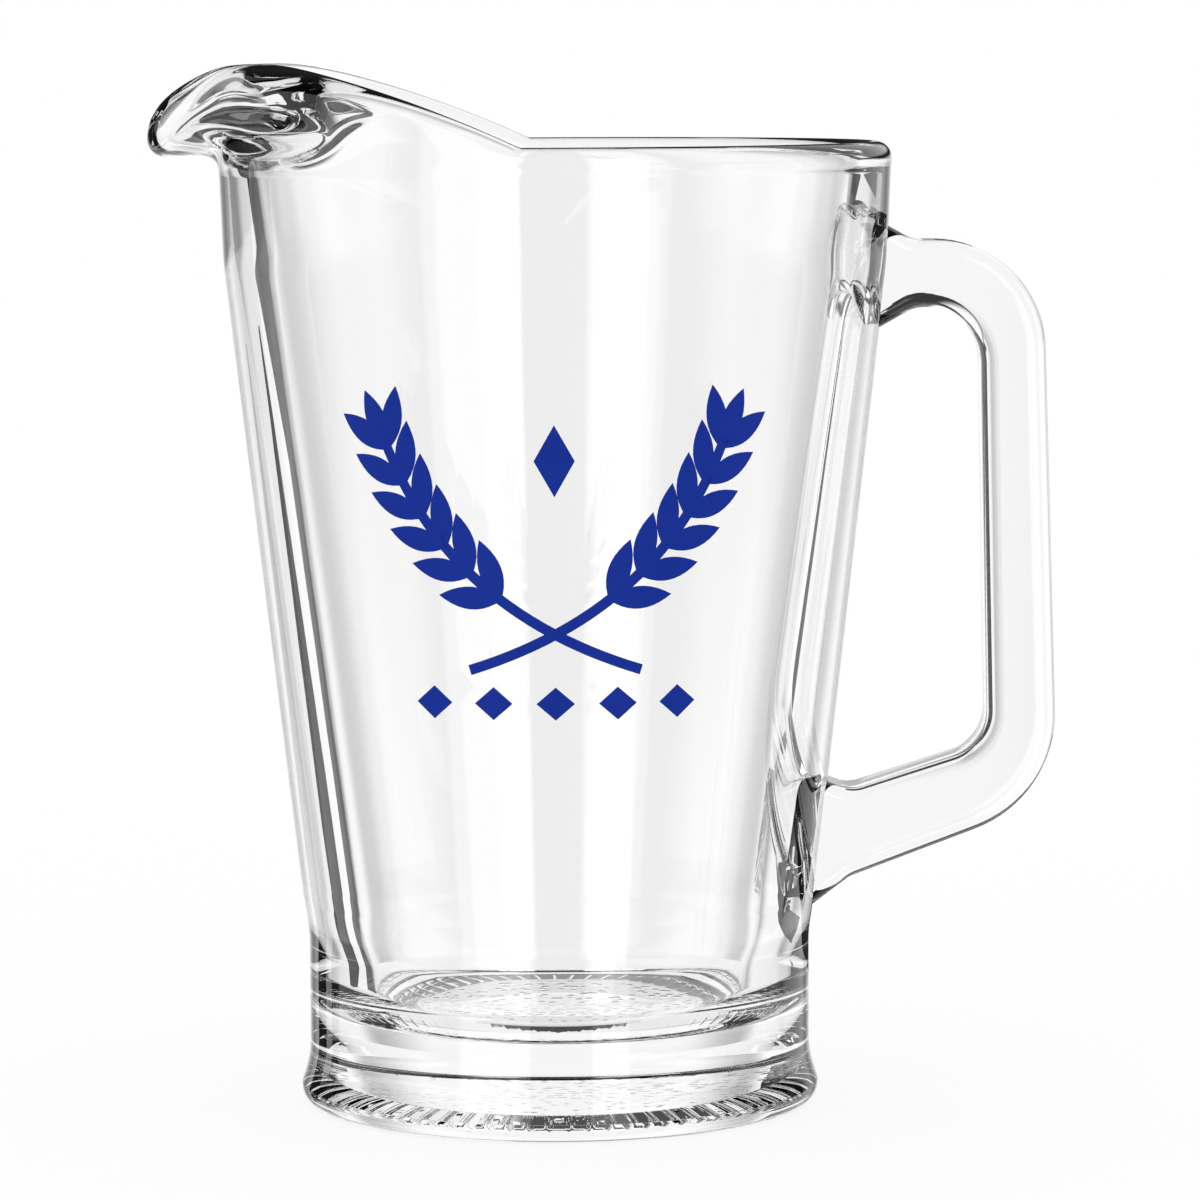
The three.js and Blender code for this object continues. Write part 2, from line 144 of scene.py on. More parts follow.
def rounded_line(corners: Sequence[Corner], runs: Sequence[int], arcs: Sequence[int]) -> list[Vector]:
    """Points of a line through corners, each straight run and each arc with its own count of steps.

    Args:
        corners: The line's ends and the corners between them.
        runs: Steps on each straight run.
        arcs: Steps on the arc of each corner between the ends.

    Returns:
        The line's points in order.
    """
    stops = [[corners[0].at]]
    for i in range(1, len(corners) - 1):
        stops.append(corner_arc(corners[i - 1], corners[i], corners[i + 1], arcs[i - 1]))
    stops.append([corners[-1].at])
    points = list(stops[0])
    for i, steps in enumerate(runs):
        start = stops[i][-1]
        end = stops[i + 1][0]
        points.extend(start.lerp(end, share) for share in run_shares((end - start).length, steps))
        points.extend(stops[i + 1][1:])
    return points


def even_runs(corners: Sequence[Corner], longest: float) -> list[int]:
    """Steps for the straight runs between corners, none longer than a length."""
    spans = ((b.at - a.at).length for a, b in zip(corners, corners[1:]))
    return [max(1, math.ceil(span / longest)) for span in spans]


def deselect_everything() -> None:
    """Leave edit mode and select nothing."""
    if bpy.context.object and bpy.context.object.mode != "OBJECT":
        bpy.ops.object.mode_set(mode="OBJECT")
    bpy.ops.object.select_all(action="DESELECT")


def make_active(piece: bpy.types.Object) -> None:
    """Select one piece alone and make it the active one."""
    deselect_everything()
    piece.select_set(True)
    bpy.context.view_layer.objects.active = piece


@contextmanager
def all_in_edit_mode() -> Iterator[None]:
    """Edit the active piece with all of it selected, and leave edit mode afterwards."""
    bpy.ops.object.mode_set(mode="EDIT")
    bpy.ops.mesh.select_all(action="SELECT")
    yield
    bpy.ops.object.mode_set(mode="OBJECT")


def apply_modifier(piece: bpy.types.Object, kind: str, **settings: object) -> None:
    """Add a modifier to a piece, set it up and apply it.

    Args:
        piece: The piece to change.
        kind: Blender's name of the modifier.
        settings: The modifier's settings.
    """
    make_active(piece)
    bpy.ops.object.modifier_add(type=kind)
    modifier = piece.modifiers[-1]
    for name, value in settings.items():
        setattr(modifier, name, value)
    bpy.ops.object.modifier_apply(modifier=modifier.name)


def name_new_piece(name: str) -> bpy.types.Object:
    """Name the piece that was just added, and its mesh."""
    piece = bpy.context.object
    piece.name = name
    piece.data.name = name
    return piece


def draw_profile(name: str, points: Sequence[Vector]) -> bpy.types.Object:
    """Edge line drawn by extruding one vertex from point to point in the XZ plane.

    Args:
        name: The new piece's name.
        points: The line's points, in metres.

    Returns:
        The piece, with its line as edges.
    """
    deselect_everything()
    bpy.ops.mesh.primitive_plane_add(size=MM)
    piece = name_new_piece(name)
    with all_in_edit_mode():
        bpy.ops.mesh.merge(type="CENTER")
        bpy.ops.transform.translate(value=points[0])
        for last, point in zip(points, points[1:]):
            bpy.ops.mesh.extrude_region_move(TRANSFORM_OT_translate={"value": point - last})
    return piece


def draw_rings(name: str, rings: Sequence[Sequence[Vector]]) -> bpy.types.Object:
    """Closed tube through rings of equal count, extruded ring by ring from a filled one.

    Args:
        name: The new piece's name.
        rings: The points of each ring in order, in metres.

    Returns:
        The piece, with both ends closed.
    """
    deselect_everything()
    bpy.ops.mesh.primitive_circle_add(vertices=len(rings[0]), radius=MM, fill_type="NGON")
    piece = name_new_piece(name)
    with all_in_edit_mode():
        for _ in rings[1:]:
            bpy.ops.mesh.extrude_region_move(TRANSFORM_OT_translate={"value": UP * MM})
    for vertex, point in zip(piece.data.vertices, (p for ring in rings for p in ring)):
        vertex.co = point
    close_seams(piece)
    return piece


def close_seams(piece: bpy.types.Object, nearest: float = MERGE_DISTANCE) -> None:
    """Merge vertices nearer than a distance and turn every face outwards."""
    make_active(piece)
    with all_in_edit_mode():
        bpy.ops.mesh.remove_doubles(threshold=nearest)
        bpy.ops.mesh.normals_make_consistent(inside=False)


Socket = bpy.types.NodeSocket
Colour = tuple[float, float, float, float]
Inputs = dict[str | int, Socket | float | Colour]


class NodeSketch:
    """Node tree of a material or world, drawn with short calls."""

    def __init__(self, owner: bpy.types.ID) -> None:
        """Clear the owner's node tree down to its output.

        Args:
            owner: The material or world that is drawn.
        """
        owner.use_nodes = True
        self.tree = owner.node_tree
        self.tree.nodes.clear()
        kind = "World" if isinstance(owner, bpy.types.World) else "Material"
        self.output = self.add("ShaderNodeOutput" + kind)

    def add(self, kind: str, inputs: Inputs | None = None, **settings: object) -> bpy.types.Node:
        """New node of a kind, with what its inputs hold and its settings."""
        node = self.tree.nodes.new(kind)
        for name, value in settings.items():
            setattr(node, name, value)
        for place, value in (inputs or {}).items():
            self.feed(node.inputs[place], value)
        return node

    def link(self, start: Socket, end: Socket) -> None:
        """Join an output to an input."""
        self.tree.links.new(start, end)

    def feed(self, socket: Socket, value: Socket | float | Colour) -> None:
        """Give an input a link or a plain value."""
        if isinstance(value, Socket):
            self.link(value, socket)
        else:
            socket.default_value = value

    def math(self, operation: str, *values: Socket | float) -> Socket:
        """Result of a math node."""
        return self.add("ShaderNodeMath", dict(enumerate(values)), operation=operation).outputs[0]

    def grow(self, value: Socket, low: float, high: float) -> Socket:
        """Smooth step from 0 below low to 1 above high."""
        inputs = {"Value": value, "From Min": low, "From Max": high}
        return self.add("ShaderNodeMapRange", inputs, interpolation_type="SMOOTHSTEP").outputs["Result"]

    def fall(self, value: Socket, low: float, high: float) -> Socket:
        """Smooth step from 1 below low to 0 above high."""
        return self.math("SUBTRACT", 1.0, self.grow(value, low, high))

    def window(self, value: Socket, low: float, full: float, fade: float, high: float) -> Socket:
        """1 between full and fade, 0 below low and above high."""
        return self.math("MULTIPLY", self.grow(value, low, full), self.fall(value, fade, high))

    def straight(self) -> Socket:
        """1 for light that came through the glass without a bounce, 0 for the rest."""
        return self.math("LESS_THAN", self.add("ShaderNodeLightPath").outputs["Glossy Depth"], NO_BOUNCE)

    def deep(self) -> Socket:
        """1 for light that crossed more than one thickness of glass, 0 for the rest."""
        crossed = self.add("ShaderNodeLightPath").outputs["Transmission Depth"]
        return self.math("GREATER_THAN", crossed, ONE_THICKNESS)

    def mix(self, share: Socket | float, start: Socket | float, end: Socket | float) -> Socket:
        """Number at a share of the way from start to end."""
        return self.add("ShaderNodeMix", {"Factor": share, "A": start, "B": end}).outputs["Result"]

    def axes(self, place: Socket) -> tuple[Socket, ...]:
        """X, Y and Z of a place or direction."""
        return tuple(self.add("ShaderNodeSeparateXYZ", {0: place}).outputs)

    def noise(self, place: Socket, scale: float, detail: float = 2.0) -> Socket:
        """Noise of a scale."""
        inputs = {"Vector": place, "Scale": scale, "Detail": detail}
        return self.add("ShaderNodeTexNoise", inputs).outputs["Fac"]

    def show(self, shader: bpy.types.Node) -> bpy.types.Node:
        """Use a shader as the surface."""
        self.link(shader.outputs[0], self.output.inputs["Surface"])
        return shader

    def emboss(self, height: Socket, strength: float = 1.0) -> Socket:
        """Normal that is bumped by a height in millimetres."""
        inputs = {"Strength": strength, "Distance": MM, "Height": height}
        return self.add("ShaderNodeBump", inputs).outputs["Normal"]

    def blend(self, share: Socket | float, first: bpy.types.Node, second: bpy.types.Node) -> None:
        """Show two shaders mixed, by the share of the second."""
        inputs = {"Fac": share, 1: first.outputs[0], 2: second.outputs[0]}
        self.show(self.add("ShaderNodeMixShader", inputs))


@dataclass(frozen=True)
class ClearGlass:
    """Finish of the pressed and fire-polished soda-lime glass, pebbled on its underside."""

    axis: float
    slot: str = "clear_glass"
    tint: Colour = WHITE
    ior: float = 1.52
    roughness: float = 0.0
    wave_scale: float = 55.0
    wave_detail: float = 1.0
    wave_depth: float = 0.012
    pebble_scale: float = 380.0
    pebble_depth: float = 0.16
    pebble_size: float = 0.42
    underside: float = 3.6
    pebbled_radius: float = 36.0
    fade_from: float = 0.9

    def material(self) -> bpy.types.Material:
        """Node material of the finish."""
        material = bpy.data.materials.new(self.slot)
        sketch = NodeSketch(material)
        place = sketch.add("ShaderNodeTexCoord").outputs["Object"]
        waves = sketch.noise(place, self.wave_scale, self.wave_detail)
        pebbles = sketch.add("ShaderNodeTexVoronoi", {"Vector": place, "Scale": self.pebble_scale})
        x, y, z = sketch.axes(place)
        below = sketch.fall(z, self.fade_from * self.underside * MM, self.underside * MM)
        aside = sketch.math("POWER", sketch.math("SUBTRACT", x, self.axis * MM), 2.0)
        radius = sketch.math("SQRT", sketch.math("ADD", aside, sketch.math("POWER", y, 2.0)))
        inside = sketch.fall(radius, self.fade_from * self.pebbled_radius * MM, self.pebbled_radius * MM)
        domes = sketch.fall(pebbles.outputs["Distance"], 0.0, self.pebble_size)
        pebbled = sketch.math("MULTIPLY", domes, sketch.math("MULTIPLY", below, inside))
        relief = sketch.math("MULTIPLY", pebbled, self.pebble_depth)
        swell = sketch.math("MULTIPLY", waves, self.wave_depth)
        sketch.show(sketch.add("ShaderNodeBsdfPrincipled", {
            "Base Color": self.tint,
            "Transmission Weight": 1.0,
            "IOR": self.ior,
            "Roughness": self.roughness,
            "Normal": sketch.emboss(sketch.math("ADD", relief, swell)),
        }))
        return material


@dataclass
class Vessel:
    """Pressed body with a heavy foot, a conical wall and a drawn pouring lip, in millimetres."""

    axis: float
    rim_height: float = 209.4
    rim_radius: float = 73.0
    collar_height: float = 25.4
    collar_taper: float = 1.0
    collar_round: float = 60.0
    waist_radius: float = 54.8
    waist_top: float = 37.0
    waist_round: float = 30.0
    shoulder_step: float = 1.3
    shoulder_height: float = 8.5
    shoulder_round: float = 25.0
    foot_radius: float = 56.7
    foot_round: float = 3.4
    foot_widest: float = 4.2
    foot_edge_round: float = 0.7
    flare_top: float = 10.0
    flare_round: float = 24.0
    ring_width: float = 7.5
    ring_undercut: float = 2.6
    ring_round: float = 2.5
    push_up: float = 1.6
    push_up_slope: float = 10.0
    push_up_round: float = 5.0
    knurl_count: int = 62
    knurl_depth: float = 0.2
    knurl_sharpness: float = 10.0
    knurl_reach: float = 0.98
    wall_at_rim: float = 6.9
    wall_at_shoulder: float = 11.5
    floor_height: float = 18.5
    floor_corner: float = 11.0
    rim_round: float = 3.6
    lip_round: float = 3.1
    lip_cheek: float = 3.0
    cheek_angle: float = 24.0
    cheek_spread: float = 18.0
    lip_root_drop: float = 6.4
    spout_reach: float = 15.2
    tip_rise: float = 4.6
    crest_rise: float = 17.6
    crest_angle: float = 23.0
    spout_end: float = 84.5
    beak_angle: float = 19.5
    beak_sharpness: float = 4.5
    spout_turn: float = 0.6
    lip_fullness: float = 0.45
    pinch_depth: float = 4.0
    pinch_angle: float = 31.0
    pinch_spread: float = 19.0
    pinch_rise: float = 3.0
    pinch_half_height: float = 5.2
    pinch_softness: float = 1.5
    segments: int = 496
    lip_rows: int = 20
    edge_rows: int = 12
    arc_rows: int = 6
    longest_row: float = 18.0

    @property
    def shoulder(self) -> float:
        """Height of the shoulder's top."""
        return self.waist_top + self.shoulder_height

    @property
    def collar(self) -> float:
        """Height where the collar begins."""
        return self.rim_height - self.collar_height

    @property
    def root(self) -> float:
        """Height of the lip's root."""
        return self.rim_height - self.lip_root_drop

    @property
    def standing(self) -> float:
        """Outer radius of the standing ring."""
        return self.foot_radius - self.ring_undercut

    def wall_radius(self, height: float) -> float:
        """Outer radius of the wall at a height above the waist."""
        stops = (
            (self.waist_top, self.waist_radius),
            (self.shoulder, self.waist_radius + self.shoulder_step),
            (self.collar, self.rim_radius - self.collar_taper),
            (self.rim_height, self.rim_radius),
        )
        if height <= stops[0][0]:
            return stops[0][1]
        for (low, narrow), (high, wide) in zip(stops, stops[1:]):
            if height <= high:
                return lerp(narrow, wide, (height - low) / (high - low))
        return self.rim_radius

    def bore_radius(self, height: float) -> float:
        """Inner radius of the conical wall at a height."""
        low = self.wall_radius(self.shoulder) - self.wall_at_shoulder
        high = self.rim_radius - self.wall_at_rim
        return lerp(low, high, (height - self.shoulder) / (self.rim_height - self.shoulder))

    def pull_share(self, angle: float) -> float:
        """Share of the tip's pull at an angle from the pouring direction."""
        return 1 / (1 + (abs(angle) / math.radians(self.beak_angle)) ** self.beak_sharpness)

    def lip_rise(self, angle: float) -> float:
        """Height of the lip above the plain rim at an angle from the pouring direction."""
        crest = math.radians(self.crest_angle)
        if abs(angle) >= crest:
            return self.crest_rise * (1 - self.plain_share(angle))
        share = (1 - math.cos(math.pi * abs(angle) / crest)) / 2
        return lerp(self.tip_rise, self.crest_rise, share)

    def around(self, angle: float, radius: float, height: float) -> Vector:
        """Point at a radius and height, at an angle from the pouring direction."""
        return Vector((-radius * math.cos(angle), radius * math.sin(angle), height))

    def plain_share(self, angle: float) -> float:
        """Share of the plain rim, from 0 at the lip's crest to 1 past the lip's ends."""
        crest = math.radians(self.crest_angle)
        past = (abs(angle) - crest) / (math.radians(self.spout_end) - crest)
        return min(max(past, 0.0), 1.0) ** 2

    def edge_round(self, angle: float) -> float:
        """Radius of the lip's rounded edge, half its thickness, which grows beside the beak."""
        away = (abs(angle) - math.radians(self.cheek_angle)) / math.radians(self.cheek_spread)
        plain = lerp(self.lip_round, self.rim_round, self.plain_share(angle))
        return plain + self.lip_cheek * math.exp(-away * away)

    def lip_edge(self, angle: float) -> Vector:
        """Middle of the rounded lip edge at an angle from the pouring direction."""
        edge = self.edge_round(angle)
        point = self.around(angle, self.rim_radius - edge, self.rim_height - edge + self.lip_rise(angle))
        return point + POURING * (self.spout_reach * self.pull_share(angle))

    def leaving(self, angle: float, spread: float) -> Vector:
        """Direction in which a face leaves the root: upright in the lip, on the wall's slope elsewhere."""
        lean = self.plain_share(angle) * spread / self.lip_root_drop
        return (UP + self.around(angle, lean, 0.0)).normalized()

    def lip_face(self, start: Vector, upwards: Vector, end: Vector, along: Vector) -> list[Vector]:
        """Points of one face of the lip, leaving its root upwards and ending along the lip."""
        run = self.lip_fullness * (end - start).length
        leave = start + upwards * run
        arrive = end - along * run
        points = []
        for i in range(self.lip_rows + 1):
            t = i / self.lip_rows
            s = 1 - t
            points.append(start * s**3 + leave * (3 * s * s * t) + arrive * (3 * s * t * t) + end * t**3)
        return points

    def pinched(self, point: Vector, angle: float) -> Vector:
        """Point of the lip pushed inwards where the ice guard is pinched."""
        around = (abs(angle) - math.radians(self.pinch_angle)) / math.radians(self.pinch_spread)
        upwards = (point.z - self.rim_height - self.pinch_rise) / self.pinch_half_height
        share = max(0.0, 1.0 - around * around - upwards * upwards)
        return point - self.around(angle, self.pinch_depth * share**self.pinch_softness, 0.0)

    def lip_section(self, angle: float) -> list[Vector]:
        """Points up the outside of the lip, over its rounded edge and down its inside.

        Args:
            angle: Angle from the pouring direction, in radians.

        Returns:
            The section's points, in millimetres from the vessel's axis.
        """
        step = math.pi / self.segments
        edge = self.lip_edge(angle)
        tangent = self.lip_edge(angle + step) - self.lip_edge(angle - step)
        level = self.pull_share(angle) ** self.spout_turn
        along = (POURING * level + UP * (1 - level)).normalized()
        half = self.edge_round(angle)
        outwards = along.cross(tangent).normalized() * half
        wall, bore = self.wall_radius(self.root), self.bore_radius(self.root)
        climb = self.leaving(angle, self.rim_radius - wall)
        outside = self.lip_face(self.around(angle, wall, self.root), climb, edge + outwards, along)
        climb = self.leaving(angle, self.bore_radius(self.rim_height) - bore)
        inside = self.lip_face(self.around(angle, bore, self.root), climb, edge - outwards, along)
        rounding = []
        for i in range(1, self.edge_rows):
            turn = math.pi * i / self.edge_rows
            rounding.append(edge + outwards * math.cos(turn) + along * (half * math.sin(turn)))
        return [self.pinched(p, angle) for p in outside] + rounding + inside[::-1]

    def outer_profile(self) -> list[Vector]:
        """Points from the middle of the underside over the foot and up to the lip's root."""
        ring_inside = self.standing - self.ring_width
        corners = [
            Corner(0.0, self.push_up),
            Corner(ring_inside - self.push_up_slope, self.push_up, self.push_up_round),
            Corner(ring_inside, 0.0, self.ring_round),
            Corner(self.foot_radius, 0.0, self.foot_round),
            Corner(self.foot_radius, self.foot_widest, self.foot_edge_round),
            Corner(self.waist_radius, self.flare_top, self.flare_round),
            Corner(self.waist_radius, self.waist_top, self.waist_round),
            Corner(self.waist_radius + self.shoulder_step, self.shoulder, self.shoulder_round),
            Corner(self.rim_radius - self.collar_taper, self.collar, self.collar_round),
            Corner(self.wall_radius(self.root), self.root),
        ]
        arcs = [self.arc_rows] * (len(corners) - 2)
        return rounded_line(corners, even_runs(corners, self.longest_row), arcs)[:-1]

    def inner_profile(self) -> list[Vector]:
        """Points from below the lip's root down the bore to the middle of the floor."""
        corners = [
            Corner(self.bore_radius(self.root), self.root),
            Corner(self.bore_radius(self.floor_height), self.floor_height, self.floor_corner),
            Corner(0.0, self.floor_height),
        ]
        return rounded_line(corners, even_runs(corners, self.longest_row), [2 * self.arc_rows])[1:]

    def in_frame(self, point: Vector) -> Vector:
        """Place in the frame, in metres, of a point measured from the vessel's axis."""
        return Vector((point.x + self.axis, point.y, point.z)) * MM

    def build(self) -> bpy.types.Object:
        """Vessel spun from its profile, with its lip drawn out.

        Returns:
            The closed vessel.
        """
        outer = self.outer_profile()
        plain_lip = [Vector((math.hypot(p.x, p.y), p.z)) for p in self.lip_section(math.pi)]
        profile = outer + plain_lip + self.inner_profile()
        line = [self.in_frame(Vector((p.x, 0.0, p.y))) for p in profile]
        piece = draw_profile("glass_pitcher", line)
        rows = piece.data.attributes.new("row", "INT", "POINT")
        rows.data.foreach_set("value", range(len(profile)))
        make_active(piece)
        middle = self.in_frame(Vector((0.0, 0.0, 0.0)))
        with all_in_edit_mode():
            bpy.ops.mesh.spin(steps=self.segments // 4, angle=math.tau / 4, center=middle, axis=UP)
        self.mirror_quarter(piece)
        close_seams(piece)
        self.draw_out_lip(piece, len(outer))
        self.knurl_ring(piece)
        piece.data.attributes.remove(piece.data.attributes["row"])
        return piece

    def knurl_ring(self, piece: bpy.types.Object) -> None:
        """Press short radial grooves into the standing ring and the rise inside it."""
        inner = self.standing - self.ring_width - self.push_up_slope
        outer = self.standing - self.ring_undercut
        top = self.knurl_reach * self.push_up * MM
        for vertex in piece.data.vertices:
            aside = vertex.co.x / MM - self.axis
            radius = math.hypot(aside, vertex.co.y / MM)
            if inner < radius < outer and vertex.co.z < top:
                angle = math.atan2(vertex.co.y / MM, aside)
                wave = (1 + math.cos(self.knurl_count * angle)) / 2
                vertex.co.z += self.knurl_depth * MM * wave**self.knurl_sharpness

    def mirror_quarter(self, piece: bpy.types.Object) -> None:
        """Mirror a quarter of the vessel over both planes through its axis."""
        bpy.ops.object.empty_add(location=self.in_frame(Vector((0.0, 0.0, 0.0))))
        axis_mark = bpy.context.object
        apply_modifier(piece, "MIRROR", use_axis=(True, True, False), mirror_object=axis_mark)
        bpy.data.objects.remove(axis_mark)

    def draw_out_lip(self, piece: bpy.types.Object, first: int) -> None:
        """Move the lip's rows of the spun vessel to the sections of the pouring lip.

        Args:
            piece: The spun vessel, whose vertices carry their row.
            first: The lip's lowest row on the outside.
        """
        section_at = lru_cache(maxsize=None)(self.lip_section)
        last = first + len(section_at(math.pi))
        rows = piece.data.attributes["row"].data
        for vertex, row in zip(piece.data.vertices, rows):
            if first <= row.value < last:
                angle = math.atan2(vertex.co.y, self.axis * MM - vertex.co.x)
                vertex.co = self.in_frame(section_at(round(angle, ANGLE_DIGITS))[row.value - first])


@dataclass
class Handle:
    """Pressed handle with flat cheeks and rounded edges, in millimetres."""

    vessel: Vessel
    width: float = 19.0
    edge_round: float = 3.6
    upper_drop: float = 21.4
    upper_thickness: float = 14.5
    finger_room: float = 20.3
    grip_thickness: float = 13.5
    grip_swell: float = 1.8
    grip_lean: float = 1.6
    lower_height: float = 56.8
    lower_thickness: float = 19.4
    lower_top_slope: float = 17.7
    lower_bottom_slope: float = 20.6
    upper_outside: float = 24.0
    upper_inside: float = 12.0
    lower_outside: float = 27.0
    lower_inside: float = 10.5
    seal_flare: float = 3.4
    seal_run: float = 6.0
    seal_round: float = 8.0
    edge_steps: int = 6
    face_steps: int = 4
    run_steps: tuple[int, ...] = (4, 5, 18, 6, 4)
    arc_steps: tuple[int, ...] = (8, 16, 16, 8)

    def side_lines(self) -> list[list[Vector]]:
        """Finger side and palm side of the handle, both from the upper seal to the lower one."""
        vessel = self.vessel
        arm_top = vessel.rim_height - self.upper_drop
        arm_bottom = arm_top - self.upper_thickness
        upper_wall = vessel.wall_radius((arm_top + arm_bottom) / 2)
        lower_wall = vessel.wall_radius(self.lower_height)
        grip_in = upper_wall + self.finger_room
        grip_out = grip_in + self.grip_thickness
        low_in = grip_in + self.grip_lean
        low_out = low_in + self.grip_thickness + self.grip_swell
        low_top = self.lower_height + self.lower_thickness / 2
        low_bottom = self.lower_height - self.lower_thickness / 2
        upper_sunk = vessel.wall_at_rim / 2
        lower_sunk = vessel.wall_at_shoulder / 2
        upper_rise = self.seal_flare * (1 + upper_sunk / self.seal_run)
        lower_rise = self.seal_flare * (1 + lower_sunk / self.seal_run)
        upper_run = upper_wall + self.seal_run
        lower_run = lower_wall + self.seal_run
        finger_side = (-1, arm_bottom, grip_in, low_in, low_top, self.lower_top_slope)
        palm_side = (1, arm_top, grip_out, low_out, low_bottom, self.lower_bottom_slope)
        rounds = ((self.upper_inside, self.lower_inside), (self.upper_outside, self.lower_outside))
        sides = zip((finger_side, palm_side), rounds)
        lines = []
        for (out, arm, grip, low_grip, low_arm, lean), (upper_round, lower_round) in sides:
            slope = math.tan(math.radians(lean))
            corners = [
                Corner(upper_wall - upper_sunk, arm + out * upper_rise),
                Corner(upper_run, arm, self.seal_round),
                Corner(grip, arm, upper_round),
                Corner(low_grip, low_arm + (low_grip - lower_wall) * slope, lower_round),
                Corner(lower_run, low_arm + self.seal_run * slope, self.seal_round),
                Corner(lower_wall - lower_sunk, low_arm - out * lower_rise),
            ]
            lines.append(rounded_line(corners, self.run_steps, self.arc_steps))
        return lines

    def section(self, inner: Vector, outer: Vector) -> list[Vector]:
        """Ring of the handle between a point of its finger side and one of its palm side.

        Args:
            inner: Point of the finger side, in the side view.
            outer: Point of the palm side, in the side view.

        Returns:
            The rounded section's points, in metres in the frame.
        """
        middle = (inner + outer) / 2
        across = (outer - inner).normalized()
        half_deep = (outer - inner).length / 2
        half_wide = self.width / 2
        seam = Corner(0.0, half_wide)
        signs = ((1, 1), (1, -1), (-1, -1), (-1, 1))
        edges = [Corner(a * half_deep, b * half_wide, self.edge_round) for a, b in signs]
        full, half = self.face_steps, self.face_steps // 2
        arcs = [self.edge_steps] * len(edges)
        ring = rounded_line([seam, *edges, seam], [half, full, full, full, half], arcs)[:-1]
        points = []
        for deep, wide in ring:
            place = middle + across * deep
            points.append(self.vessel.in_frame(Vector((place.x, wide, place.y))))
        return points

    def build(self) -> bpy.types.Object:
        """Handle drawn ring by ring, with both ends sunk in the wall."""
        finger_side, palm_side = self.side_lines()
        rings = [self.section(inner, outer) for inner, outer in zip(finger_side, palm_side)]
        return draw_rings("handle_blank", rings)


@dataclass(frozen=True)
class BlueEnamel:
    """Finish of the fired blue ink: opaque, low gloss, a little uneven."""

    slot: str = "blue_enamel"
    colour: Colour = (0.0052, 0.0242, 0.2705, 1.0)
    thin_colour: Colour = (0.0068, 0.0292, 0.2950, 1.0)
    roughness: float = 0.38
    gloss: float = 0.08
    mottle_scale: float = 420.0
    grain_scale: float = 3800.0
    grain_depth: float = 0.02

    def material(self) -> bpy.types.Material:
        """Node material of the finish."""
        material = bpy.data.materials.new(self.slot)
        sketch = NodeSketch(material)
        place = sketch.add("ShaderNodeTexCoord").outputs["Object"]
        mottle = sketch.noise(place, self.mottle_scale)
        inks = {"Factor": mottle, COLOUR_A: self.colour, COLOUR_B: self.thin_colour}
        tone = sketch.add("ShaderNodeMix", inks, data_type="RGBA")
        sketch.show(sketch.add("ShaderNodeBsdfPrincipled", {
            "Base Color": tone.outputs[COLOUR_RESULT],
            "Roughness": self.roughness,
            "Specular IOR Level": self.gloss,
            "Normal": sketch.emboss(sketch.noise(place, self.grain_scale), self.grain_depth),
        }))
        return material


